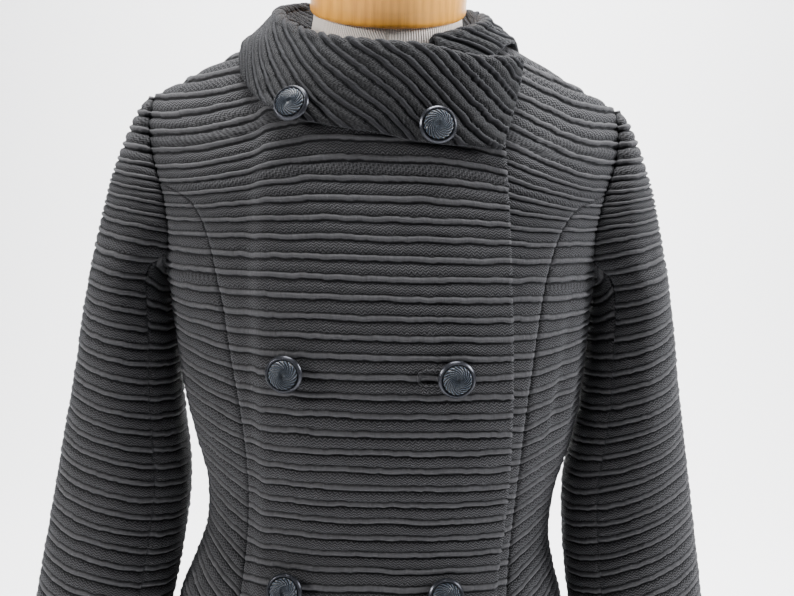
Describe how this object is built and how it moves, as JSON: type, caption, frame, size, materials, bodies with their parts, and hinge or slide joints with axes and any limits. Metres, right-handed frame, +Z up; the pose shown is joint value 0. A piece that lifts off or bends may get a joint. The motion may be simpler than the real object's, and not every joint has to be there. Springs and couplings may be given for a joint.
{
  "type": "double-breasted jacket on limbless dress form",
  "caption": "Fitted double-breasted jacket in dark ribbed cloth with a wide folded bias collar and shank buttons, on a limbless dress form with a round stand.",
  "frame": {"origin": "centre of the stand base's flat underside", "axes": "+Z up the stand and the jacket, -Y out of the jacket's front, +X to the wearer's left"},
  "size_m": [0.6268, 0.33, 1.1078],
  "materials": {
    "jacket_cloth": "ribbed, soft sheen",
    "button_metal": "dark, polished rim",
    "form_cover": "fine vertical ribs",
    "cap_wood": "satin varnish",
    "stand_wood": "satin varnish"
  },
  "bodies": {
    "root": {"front_right": "jacket_cloth", "front_left": "jacket_cloth", "back": "jacket_cloth", "side_front_right": "jacket_cloth", "side_front_left": "jacket_cloth", "side_back_right": "jacket_cloth", "side_back_left": "jacket_cloth", "top_sleeve_right": "jacket_cloth", "top_sleeve_left": "jacket_cloth", "under_sleeve_right": "jacket_cloth", "under_sleeve_left": "jacket_cloth", "collar": "jacket_cloth", "buttonhole": "jacket_cloth", "button_1": "button_metal", "button_2": "button_metal", "button_3": "button_metal", "button_4": "button_metal", "button_5": "button_metal", "button_6": "button_metal", "form_body": "form_cover", "form_cap": "cap_wood", "stand_stem": "stand_wood", "stand_base": "stand_wood"}
  },
  "joints": []
}
